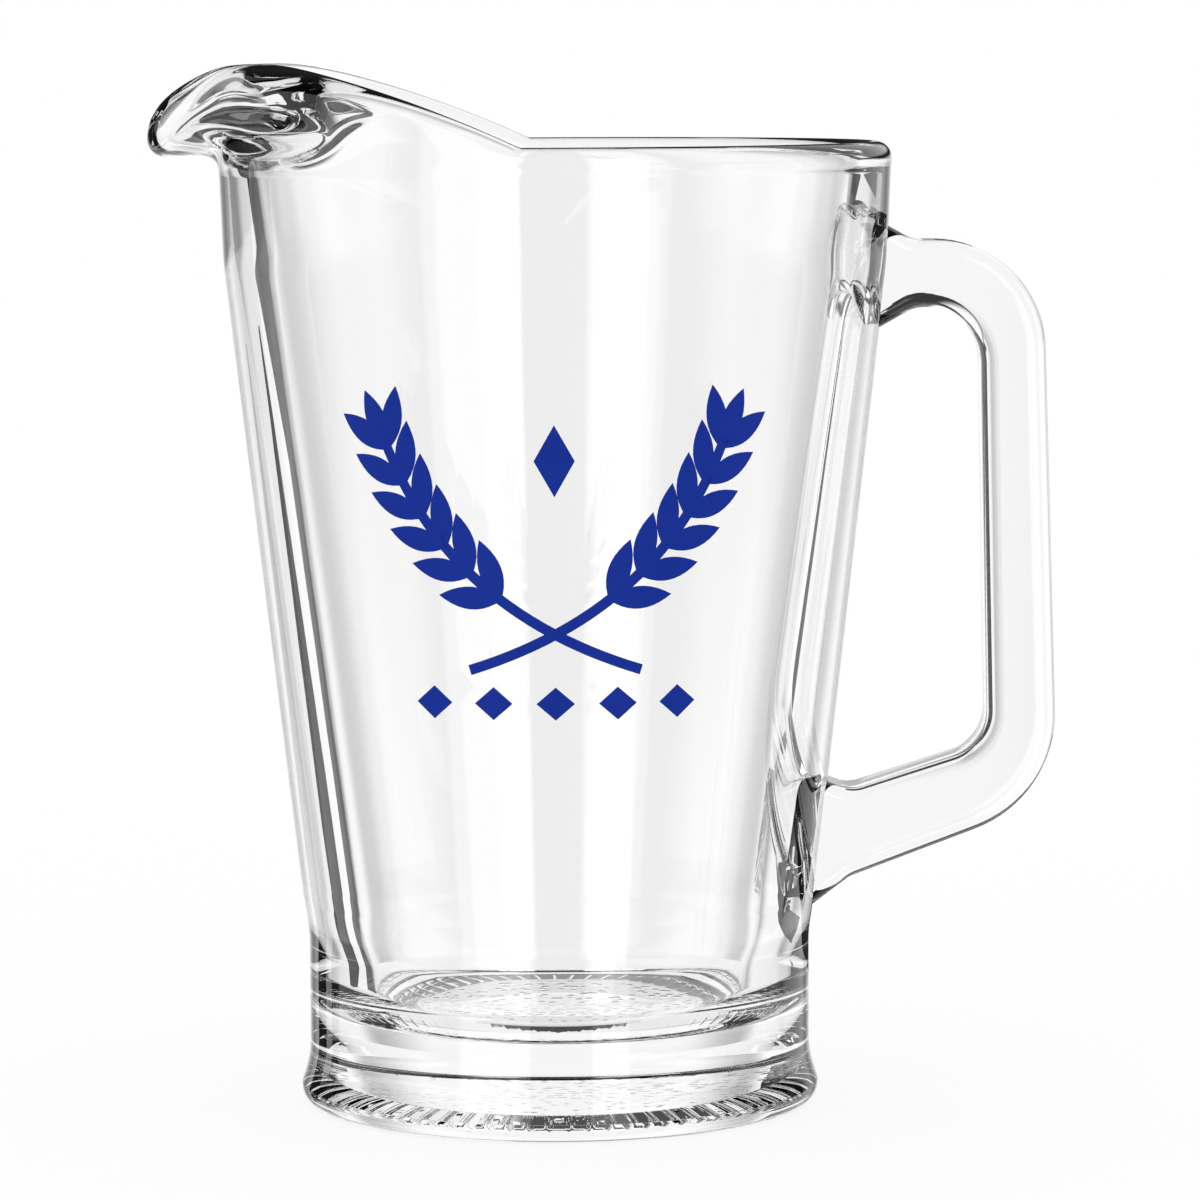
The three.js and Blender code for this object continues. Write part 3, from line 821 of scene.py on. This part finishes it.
@dataclass
class Motif:
    """Printed motif of two crossed barley ears and lozenges, in millimetres on the unrolled wall."""

    vessel: Vessel
    height: float = 131.0
    clearance: float = 0.08
    thickness: float = 0.16
    strip: float = 1.6
    strip_margin: float = 0.25
    finest: float = 0.03
    stem_width: float = 2.2
    stem_foot: tuple[float, float] = (-18.0, -30.0)
    stem_bend: tuple[float, float] = (22.0, -17.0)
    stem_top: tuple[float, float] = (37.0, 18.0)
    stem_steps: int = 28
    grain_length: float = 13.5
    grain_width: float = 4.8
    grain_belly: float = 0.45
    grain_tilt: float = 33.0
    grain_pairs: int = 6
    grain_steps: int = 10
    ear_start: float = 0.42
    ear_end: float = 0.97
    centre_up: float = 14.0
    centre_wide: float = 8.5
    centre_tall: float = 15.0
    row_up: float = -37.0
    row_pitch: float = 13.0
    row_wide: float = 8.0
    row_tall: float = 7.0
    row_count: int = 5

    def stem_point(self, share: float, side: int) -> Vector:
        """Point of a stem's middle line."""
        places = (self.stem_foot, self.stem_bend, self.stem_top)
        foot, bend, top = (Vector((side * across, up)) for across, up in places)
        return bent(foot, bend, top, share)

    def stem_lean(self, share: float, side: int) -> float:
        """Angle of a stem from upright, in radians."""
        step = 0.001
        run = self.stem_point(share + step, side) - self.stem_point(share - step, side)
        return math.atan2(run.x, run.y)

    def stem_outline(self, side: int) -> list[Vector]:
        """Outline of a stem of even width."""
        left, right = [], []
        for i in range(self.stem_steps + 1):
            share = i / self.stem_steps
            lean = self.stem_lean(share, side)
            aside = Vector((math.cos(lean), -math.sin(lean))) * (self.stem_width / 2)
            middle = self.stem_point(share, side)
            right.append(middle + aside)
            left.append(middle - aside)
        return right + left[::-1]

    def grain_outline(self, foot: Vector, lean: float) -> list[Vector]:
        """Outline of a pointed grain from its foot, leaning from upright."""
        axis = Vector((math.sin(lean), math.cos(lean)))
        aside = Vector((axis.y, -axis.x)) * self.grain_width
        tip = foot + axis * self.grain_length
        belly = foot + axis * (self.grain_length * self.grain_belly)
        points = []
        for start, middle, end in ((foot, belly + aside, tip), (tip, belly - aside, foot)):
            points += [bent(start, middle, end, i / self.grain_steps) for i in range(self.grain_steps)]
        return points

    def ear_outlines(self, side: int) -> list[list[Vector]]:
        """Outlines of one ear: its stem, its pairs of grains and the grain on top."""
        outlines = [self.stem_outline(side)]
        tilt = math.radians(self.grain_tilt)
        for i in range(self.grain_pairs):
            share = lerp(self.ear_start, self.ear_end, i / (self.grain_pairs - 1))
            foot, lean = self.stem_point(share, side), self.stem_lean(share, side)
            outlines += [self.grain_outline(foot, lean + turn) for turn in (-tilt, tilt)]
        top = self.stem_point(self.ear_end, side)
        outlines.append(self.grain_outline(top, self.stem_lean(self.ear_end, side)))
        return outlines

    def lozenge_outline(self, across: float, up: float, wide: float, tall: float) -> list[Vector]:
        """Outline of an upright lozenge."""
        return [
            Vector((across, up - tall / 2)),
            Vector((across + wide / 2, up)),
            Vector((across, up + tall / 2)),
            Vector((across - wide / 2, up)),
        ]

    def cut_out(self, name: str, outline: Sequence[Vector]) -> bpy.types.Object:
        """Flat piece of an outline, standing in XZ with its thickness along Y, in metres."""
        front = [Vector((p.x, -self.thickness, p.y)) * MM for p in outline]
        back = [Vector((p.x, 0.0, p.y)) * MM for p in outline]
        return draw_rings(name, [back, front])

    def lay(self, name: str, outlines: Sequence[Sequence[Vector]]) -> bpy.types.Object:
        """Print of one or more outlines, joined to one piece and laid round the wall.

        Args:
            name: The print's name.
            outlines: The outlines, on the unrolled wall.

        Returns:
            The print.
        """
        piece = self.cut_out(name, outlines[0])
        for outline in outlines[1:]:
            other = self.cut_out("cut_out", outline)
            apply_modifier(piece, "BOOLEAN", operation="UNION", solver="EXACT", object=other)
            bpy.data.objects.remove(other)
        self.split(piece)
        for vertex in piece.data.vertices:
            vertex.co = self.on_wall(vertex.co)
        close_seams(piece, self.finest * MM)
        bpy.ops.object.shade_smooth_by_angle(angle=math.radians(INK_CREASE))
        return piece

    def split(self, piece: bpy.types.Object) -> None:
        """Cut a flat print into upright strips so that it can follow the wall."""
        make_active(piece)
        across = [vertex.co.x / MM for vertex in piece.data.vertices]
        first = math.ceil(min(across) / self.strip + self.strip_margin)
        last = math.floor(max(across) / self.strip - self.strip_margin)
        with all_in_edit_mode():
            for i in range(first, last + 1):
                bpy.ops.mesh.select_all(action="SELECT")
                bpy.ops.mesh.bisect(plane_co=(i * self.strip * MM, 0.0, 0.0), plane_no=(1.0, 0.0, 0.0))

    def on_wall(self, flat: Vector) -> Vector:
        """Place on the wall, in metres in the frame, of a point of a flat print."""
        up = self.height + flat.z / MM
        wall = self.vessel.wall_radius(up)
        angle = flat.x / MM / wall
        radius = wall + self.clearance - flat.y / MM
        return self.vessel.in_frame(Vector((radius * math.sin(angle), -radius * math.cos(angle), up)))

    def build(self) -> dict[str, bpy.types.Object]:
        """All prints of the motif.

        Returns:
            Each print by the CAD node that it stands for.
        """
        prints = {"print_barley": self.lay("barley_print", self.ear_outlines(1) + self.ear_outlines(-1))}
        centre = self.lozenge_outline(0.0, self.centre_up, self.centre_wide, self.centre_tall)
        prints["print_lozenge_centre"] = self.lay("lozenge_print_centre", [centre])
        for i in range(self.row_count):
            across = (i - (self.row_count - 1) / 2) * self.row_pitch
            outline = self.lozenge_outline(across, self.row_up, self.row_wide, self.row_tall)
            prints[f"print_lozenge_{i + 1}"] = self.lay(f"lozenge_print_{i + 1}", [outline])
        return prints


def seal_handle(vessel: bpy.types.Object, handle: bpy.types.Object) -> None:
    """Fuse the handle to the vessel, as the hot seal does, and drop its blank."""
    apply_modifier(vessel, "BOOLEAN", operation="UNION", solver="EXACT", object=handle)
    bpy.data.objects.remove(handle)
    make_active(vessel)
    bpy.ops.object.shade_smooth_by_angle(angle=math.radians(GLASS_CREASE))


@dataclass(frozen=True)
class LightPatch:
    """Soft-edged patch of the surroundings that the glass shows.

    Sides are degrees from straight behind the object, rises are degrees above level, and each holds
    where the patch begins, is full, begins to fade and ends.
    """

    sides: tuple[float, float, float, float]
    rises: tuple[float, float, float, float]
    level: float = 1.0
    mirrored: bool = True

    def draw(self, sketch: NodeSketch, around: Socket, rise: Socket) -> Socket:
        """Brightness of the patch for every direction.

        Args:
            sketch: The world's node sketch.
            around: Signed angle from straight behind the object.
            rise: Angle above level.

        Returns:
            The patch's brightness.
        """
        side = sketch.math("ABSOLUTE", around) if self.mirrored else around
        shape = sketch.math("MULTIPLY", sketch.window(side, *self.sides), sketch.window(rise, *self.rises))
        return sketch.math("MULTIPLY", shape, self.level)


ALL_ROUND = (-2.0, -1.0, 181.0, 182.0)
BELOW_LEVEL = (-91.0, -90.5, 0.0, 3.0)
ABOUT_LEVEL = (-36.0, -34.0, 34.0, 36.0)

LIGHT_PATCHES = (
    LightPatch(sides=(-2.0, -1.0, 50.0, 62.0), rises=BELOW_LEVEL),
    LightPatch(sides=(50.0, 62.0, 115.0, 130.0), rises=BELOW_LEVEL, level=0.9),
    LightPatch(sides=(110.0, 125.0, 181.0, 182.0), rises=BELOW_LEVEL, level=0.08),
    LightPatch(sides=ALL_ROUND, rises=(24.0, 34.0, 91.0, 92.0), level=0.08),
    LightPatch(sides=(-168.0, -166.0, -136.0, -132.0), rises=ABOUT_LEVEL, level=1.7, mirrored=False),
    LightPatch(sides=(147.0, 149.0, 164.0, 166.0), rises=ABOUT_LEVEL, level=1.7, mirrored=False),
    LightPatch(sides=(6.0, 14.0, 50.0, 60.0), rises=(4.0, 8.0, 50.0, 60.0), mirrored=False),
)


@dataclass(frozen=True)
class Card:
    """Upright curved card behind the object that only the glass sees, in millimetres and degrees."""

    name: str
    half_angle: float
    bright_angle: float
    dim_angle: float
    bottom: float
    top: float
    distance: float
    dimmest: float = 0.5
    steps: int = 24

    def hang(self, axis: float) -> bpy.types.Object:
        """Card spun from an upright line round the object's axis.

        Args:
            axis: Place of the vessel's axis along X, in millimetres.

        Returns:
            The card.
        """
        centre = Vector((axis, 0.0, 0.0)) * MM
        turn = Matrix.Rotation(math.radians(self.half_angle), 3, "Z")
        foot = centre + (turn @ Vector((0.0, self.distance, self.bottom))) * MM
        card = draw_profile(self.name, [foot, foot + UP * (self.top - self.bottom) * MM])
        sweep = math.radians(2 * self.half_angle)
        with all_in_edit_mode():
            bpy.ops.mesh.spin(steps=self.steps, angle=sweep, center=centre, axis=UP)
        sketch, strength = lit_for_glass(card)
        sketch.link(self.brightness(sketch, axis), strength)
        return card

    def brightness(self, sketch: NodeSketch, axis: float) -> Socket:
        """Brightness that dips on both sides between the middle of the card and its ends.

        Args:
            sketch: The card's node sketch.
            axis: Place of the vessel's axis along X, in millimetres.

        Returns:
            The brightness at each place of the card.
        """
        x, y, _ = sketch.axes(sketch.add("ShaderNodeTexCoord").outputs["Object"])
        aside = sketch.math("SUBTRACT", x, axis * MM)
        off = sketch.math("ABSOLUTE", sketch.math("DEGREES", sketch.math("ARCTAN2", aside, y)))
        inwards = sketch.fall(off, self.bright_angle, self.dim_angle)
        outwards = sketch.grow(off, self.dim_angle, self.half_angle)
        lit = sketch.math("MAXIMUM", inwards, outwards)
        return sketch.math("MULTIPLY_ADD", lit, 1.0 - self.dimmest, self.dimmest)


class Sight(Enum):
    """Light that sees a flag: what bounced in the glass, or what crossed one thickness of it."""

    BOUNCED = "bounced"
    SINGLE = "single"


# Painted shade: a flag is a dark sheet that only light inside the glass sees. It draws a dark line into the
# glass's edge and casts no shadow.
@dataclass(frozen=True)
class Flag:
    """Painted shade: an upright black card close to the glass, which draws a dark line into its edge, in
    millimetres.

    Corners are places aside from the vessel's axis and above the floor, anticlockwise as the camera sees
    them, because a flag is clear from behind. It stands behind the axis by a distance.
    """

    name: str
    behind: float
    corners: tuple[tuple[float, float], ...]
    level: float = 0.05
    sight: Sight = Sight.BOUNCED

    def hang(self, axis: float) -> bpy.types.Object:
        """Flag of its corners.

        Args:
            axis: Place of the vessel's axis along X, in millimetres.

        Returns:
            The flag.
        """
        deselect_everything()
        bpy.ops.mesh.primitive_circle_add(vertices=len(self.corners), radius=MM, fill_type="NGON")
        flag = name_new_piece(self.name)
        for vertex, (aside, up) in zip(flag.data.vertices, self.corners):
            vertex.co = Vector((axis + aside, self.behind, up)) * MM
        sketch, strength = lit_for_glass(flag)
        sketch.feed(strength, self.level)
        away = sketch.add("ShaderNodeNewGeometry").outputs["Backfacing"]
        missed = sketch.straight() if self.sight is Sight.BOUNCED else sketch.deep()
        clear = sketch.add("ShaderNodeBsdfTransparent")
        sketch.blend(sketch.math("MAXIMUM", away, missed), strength.node, clear)
        return flag


BACK_CARD = Card(
    "back_card", half_angle=38.0, bright_angle=16.0, dim_angle=31.0,
    bottom=-150.0, top=200.0, distance=420.0,
)

# Painted shade: dark sheets left and right of the pitcher and behind the handle, which draw dark lines into
# the glass.
SHADE_FLAGS = (
    Flag("flag_left", 50.0, (
        (-172.0, -60.0), (-140.0, -60.0), (-140.0, 157.0), (-172.0, 157.0),
    ), level=0.1),
    Flag("flag_left_top", 50.0, (
        (-172.0, 157.0), (-140.0, 120.0), (-127.0, 160.0),
        (-116.0, 188.0), (-112.0, 212.0), (-172.0, 212.0),
    )),
    Flag("flag_left_low", 65.0, (
        (-135.0, -30.0), (-105.0, -30.0), (-105.0, 40.0),
        (-126.0, 155.0), (-129.0, 155.0), (-134.0, 40.0),
    )),
    Flag("flag_right", 50.0, (
        (140.0, 30.0), (172.0, 30.0), (172.0, 92.0), (150.0, 120.0),
    ), level=0.15),
    Flag("flag_grip", 30.0, (
        (84.0, 192.0), (84.0, 186.0), (106.0, 186.0), (112.0, 178.0), (112.0, 55.0), (60.0, 36.0),
        (60.0, 22.0), (118.0, 38.0), (128.0, 50.0), (128.0, 184.0), (118.0, 192.0),
    ), sight=Sight.SINGLE),
)


def lit_for_glass(card: bpy.types.Object) -> tuple[NodeSketch, Socket]:
    """Make a card glow for the glass alone.

    Args:
        card: The card.

    Returns:
        The sketch of its material and the input that holds its brightness, 1 for white.
    """
    material = bpy.data.materials.new(card.name)
    sketch = NodeSketch(material)
    glow = sketch.show(sketch.add("ShaderNodeEmission"))
    card.data.materials.append(material)
    card.visible_camera = False
    card.visible_diffuse = False
    card.visible_shadow = False
    return sketch, glow.inputs["Strength"]


@dataclass(frozen=True)
class Studio:
    """Camera, floor and light of the picture."""

    camera_distance: float = 1219.2
    camera_height: float = 229.18
    camera_aside: float = 9.3
    camera_pitch: float = 5.6
    camera_roll: float = -0.283
    lens: float = 168.2
    sensor: float = 36.0
    camera_reach: float = 100000.0
    dark_level: float = 0.04
    horizon_fade: float = 3.0
    floor_radius: float = 4000.0
    floor_sides: int = 96
    floor_glow: float = 0.88

    def stand_camera(self, axis: float) -> None:
        """Camera at the photograph's place and angle.

        Args:
            axis: Place of the vessel's axis along X, in millimetres.
        """
        data = bpy.data.cameras.new("camera")
        data.lens = self.lens
        data.sensor_width = self.sensor
        data.clip_end = self.camera_reach * MM
        camera = bpy.data.objects.new("camera", data)
        bpy.context.scene.collection.objects.link(camera)
        place = Vector((axis + self.camera_aside, -self.camera_distance, self.camera_height)) * MM
        tilt = Matrix.Rotation(math.radians(90.0 - self.camera_pitch), 4, "X")
        roll = Matrix.Rotation(math.radians(self.camera_roll), 4, "Z")
        camera.matrix_world = Matrix.Translation(place) @ tilt @ roll
        bpy.context.scene.camera = camera

    def lay_floor(self) -> bpy.types.Object:
        """Plain pale floor that glows a little and keeps a faint shadow."""
        deselect_everything()
        radius = self.floor_radius * MM
        bpy.ops.mesh.primitive_circle_add(vertices=self.floor_sides, radius=radius, fill_type="NGON")
        floor = name_new_piece("floor")
        floor.visible_glossy = False
        floor.visible_transmission = False
        material = bpy.data.materials.new("pale_floor")
        sketch = NodeSketch(material)
        matt = sketch.add("ShaderNodeBsdfDiffuse", {"Color": WHITE})
        sketch.blend(self.floor_glow, matt, sketch.add("ShaderNodeEmission"))
        floor.data.materials.append(material)
        return floor

    def light_world(self) -> None:
        """White surroundings for the camera and plain pieces, and a lit studio for what the glass shows."""
        world = bpy.data.worlds.new("studio")
        bpy.context.scene.world = world
        sketch = NodeSketch(world)
        side, ahead, upwards = sketch.axes(sketch.add("ShaderNodeTexCoord").outputs["Generated"])
        around = sketch.math("DEGREES", sketch.math("ARCTAN2", side, ahead))
        rise = sketch.math("DEGREES", sketch.math("ARCSINE", upwards))
        level: Socket | float = self.dark_level
        for patch in LIGHT_PATCHES:
            level = sketch.math("MAXIMUM", patch.draw(sketch, around, rise), level)
        through = sketch.math("MULTIPLY", sketch.straight(), sketch.fall(rise, 0.0, self.horizon_fade))
        level = sketch.math("MAXIMUM", through, level)
        path = sketch.add("ShaderNodeLightPath")
        plain = sketch.math("MAXIMUM", path.outputs["Is Camera Ray"], path.outputs["Is Diffuse Ray"])
        inputs = {"Color": WHITE, "Strength": sketch.mix(plain, level, 1.0)}
        sketch.show(sketch.add("ShaderNodeBackground", inputs))


def main() -> None:
    """Build the pitcher, dress it and set up its picture."""
    logging.basicConfig(level=logging.INFO, format="%(name)s: %(message)s")
    vessel_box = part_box("glass_body")
    vessel = Vessel(axis=vessel_box[1].x / MM - Vessel.rim_radius)
    glass = ClearGlass(vessel.axis)
    piece = vessel.build()
    log.info("vessel spun: %d faces", len(piece.data.polygons))
    seal_handle(piece, Handle(vessel).build())
    piece.data.materials.clear()
    piece.data.materials.append(glass.material())
    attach(piece, BODY)
    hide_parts("glass_body", "handle")
    log.info("handle sealed on: %d faces", len(piece.data.polygons))
    enamel = BlueEnamel()
    ink = enamel.material()
    for node, mark in Motif(vessel).build().items():
        mark.data.materials.clear()
        mark.data.materials.append(ink)
        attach(mark, BODY)
        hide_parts(node)
        log.info("%s laid on the wall: %d faces", mark.name, len(mark.data.polygons))
    studio = Studio()
    studio.lay_floor()
    # The back card glows for the glass alone, and the flags are painted shade that only the glass shows.
    for card in (BACK_CARD, *SHADE_FLAGS):
        card.hang(vessel.axis)
    studio.light_world()
    studio.stand_camera(vessel.axis)
    bpy.context.scene.view_settings.view_transform = "Standard"


if __name__ == "__main__":
    main()
